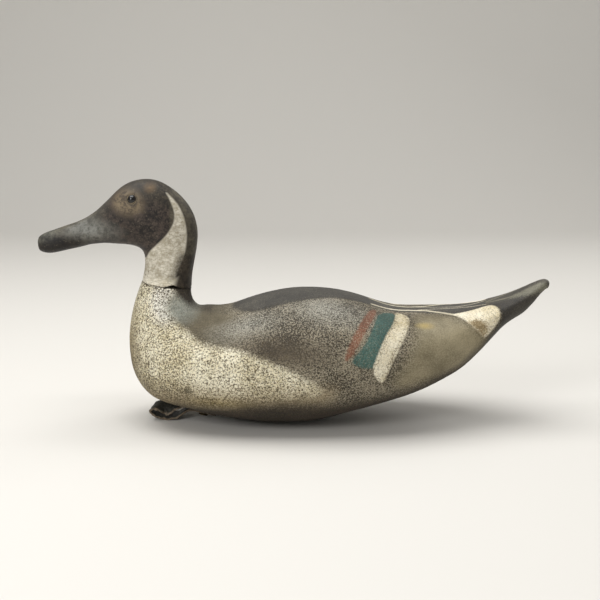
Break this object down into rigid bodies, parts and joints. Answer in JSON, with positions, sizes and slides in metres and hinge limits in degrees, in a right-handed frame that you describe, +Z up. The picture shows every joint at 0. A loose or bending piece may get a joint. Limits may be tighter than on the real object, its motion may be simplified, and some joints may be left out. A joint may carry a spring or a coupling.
{
  "type": "floating duck decoy",
  "caption": "Hollow carved wooden drake pintail decoy with a raised neck, glass eyes, a keel strip for ballast and a leather loop for an anchor line.",
  "frame": {"origin": "under the middle of the decoy, on the surface that it stands on", "axes": "+Z up, +X to the tail, -Y to the bird's left"},
  "size_m": [0.4578, 0.162, 0.2175],
  "materials": {
    "painted_body": "granular old oil paint over carved wood, matt and worn",
    "painted_head": "smooth old oil paint over carved wood, satin",
    "bare_wood": "bare hardwood",
    "sealant": "hardened white lead paste",
    "putty": "hardened oil putty, painted over",
    "steel": "old steel with light rust",
    "eye_glass": "dark brown glass with a black pupil, glossy",
    "lead": "rolled lead strip, dull grey and oxidised",
    "brass": "tarnished brass",
    "leather": "old dark oiled leather with dry paler edges"
  },
  "bodies": {
    "decoy": {"body_upper_half": "painted_body", "body_lower_half": "painted_body", "joint_sealant": "sealant", "head_and_neck": "painted_head", "body_nails": "steel", "body_nail_putty": "putty", "neck_screw": "steel", "neck_screw_washer": "steel", "neck_dowel": "bare_wood", "neck_nails": "steel", "neck_nail_putty": "putty", "left_eye": "eye_glass", "left_eye_wire": "steel", "left_eye_putty": "putty", "right_eye": "eye_glass", "right_eye_wire": "steel", "right_eye_putty": "putty", "ballast_strip": "lead", "ballast_screws": "brass", "strap_ends": "leather", "loop_tacks": "brass"},
    "loop": {"line_loop": "leather"}
  },
  "joints": [
    {"name": "loop_flex", "type": "hinge", "parent": "decoy", "child": "loop", "pos_m": [-0.096, 0, 0.01165], "axis": [0, -1, 0], "range_deg": [-5, 70]}
  ]
}
